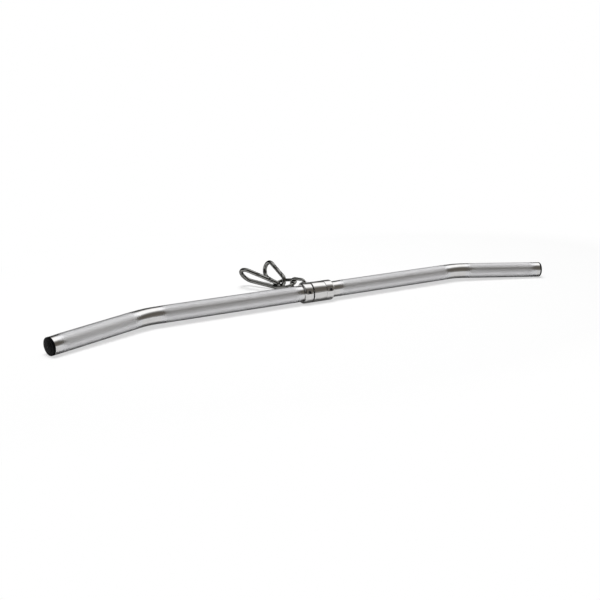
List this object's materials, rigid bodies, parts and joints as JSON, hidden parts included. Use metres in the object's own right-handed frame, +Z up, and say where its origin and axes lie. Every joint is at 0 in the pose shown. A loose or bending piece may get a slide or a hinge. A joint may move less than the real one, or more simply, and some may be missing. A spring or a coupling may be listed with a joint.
{
  "type": "lat pulldown bar",
  "caption": "Wide pulldown bar with angled ends, knurled grips, black end plugs and a rotating middle collar with a hanger loop, chain links and spring snap hooks.",
  "frame": {"origin": "middle of the bounding box's bottom face, the floor that the bar rests on", "axes": "+X along the bar to its right end, +Y from the bar to the snap hooks, +Z up"},
  "size_m": [1.0068, 0.2464, 0.0483],
  "materials": {
    "polished_tube": "bright chrome plate, fine diamond knurl on the grips and the middle",
    "collar_chrome": "mirror chrome plate",
    "link_zinc": "bright zinc plate",
    "hook_zinc": "bright zinc plate",
    "screw_steel": "dark oxide steel",
    "spring_steel": "spring steel wire",
    "black_plastic": "moulded black polyethylene",
    "bushing_plastic": "natural nylon"
  },
  "bodies": {
    "bar": {"bar_tube": "polished_tube", "end_plug_left": "black_plastic", "end_plug_right": "black_plastic", "stop_ring_left": "collar_chrome", "stop_ring_right": "collar_chrome", "set_screw_left": "screw_steel", "set_screw_right": "screw_steel"},
    "collar": {"collar_sleeve": "collar_chrome", "bushing_left": "bushing_plastic", "bushing_right": "bushing_plastic", "hanger_loop": "collar_chrome", "hanger_welds": "collar_chrome"},
    "link_near": {"chain_link_near": "link_zinc"},
    "link_far": {"chain_link_far": "link_zinc"},
    "hook_a": {"hook_a_body": "hook_zinc", "hook_a_rivet": "screw_steel"},
    "gate_a": {"hook_a_gate": "hook_zinc", "hook_a_spring": "spring_steel", "hook_a_plunger": "screw_steel"},
    "hook_b": {"hook_b_body": "hook_zinc", "hook_b_rivet": "screw_steel"},
    "gate_b": {"hook_b_gate": "hook_zinc", "hook_b_spring": "spring_steel", "hook_b_plunger": "screw_steel"}
  },
  "joints": [
    {"name": "collar_spin", "type": "hinge", "parent": "bar", "child": "collar", "pos_m": [0, -0.04716, 0.019], "axis": [1, 0, 0], "continuous": true},
    {"name": "link_near_swing", "type": "hinge", "parent": "collar", "child": "link_near", "pos_m": [0.00085, 0.00278, 0.02144], "axis": [1, 0, 0], "range_deg": [-45, 45]},
    {"name": "link_far_swing", "type": "hinge", "parent": "link_near", "child": "link_far", "pos_m": [-0.01236, 0.02657, 0.01942], "axis": [0.0389, 0.0693, 0.9968], "range_deg": [-50, 50]},
    {"name": "hook_a_swing", "type": "hinge", "parent": "link_far", "child": "hook_a", "pos_m": [-0.03404, 0.05586, 0.01142], "axis": [0.6648, 0.7252, 0.1793], "range_deg": [-5, 45]},
    {"name": "gate_a_open", "type": "hinge", "parent": "hook_a", "child": "gate_a", "pos_m": [-0.04246, 0.05428, 0.02211], "axis": [-0.6822, -0.3727, -0.629], "range_deg": [0, 22], "stiffness_Nm_per_rad": 0.1, "springref_deg": -17.19},
    {"name": "hook_b_swing", "type": "hinge", "parent": "link_far", "child": "hook_b", "pos_m": [-0.01798, 0.06, 0.01614], "axis": [0.9044, -0.3204, 0.2817], "range_deg": [0, 45]},
    {"name": "gate_b_open", "type": "hinge", "parent": "hook_b", "child": "gate_b", "pos_m": [-0.01665, 0.06088, 0.02891], "axis": [-0.9778, -0.1191, 0.1725], "range_deg": [0, 22], "stiffness_Nm_per_rad": 0.1, "springref_deg": -17.19}
  ]
}
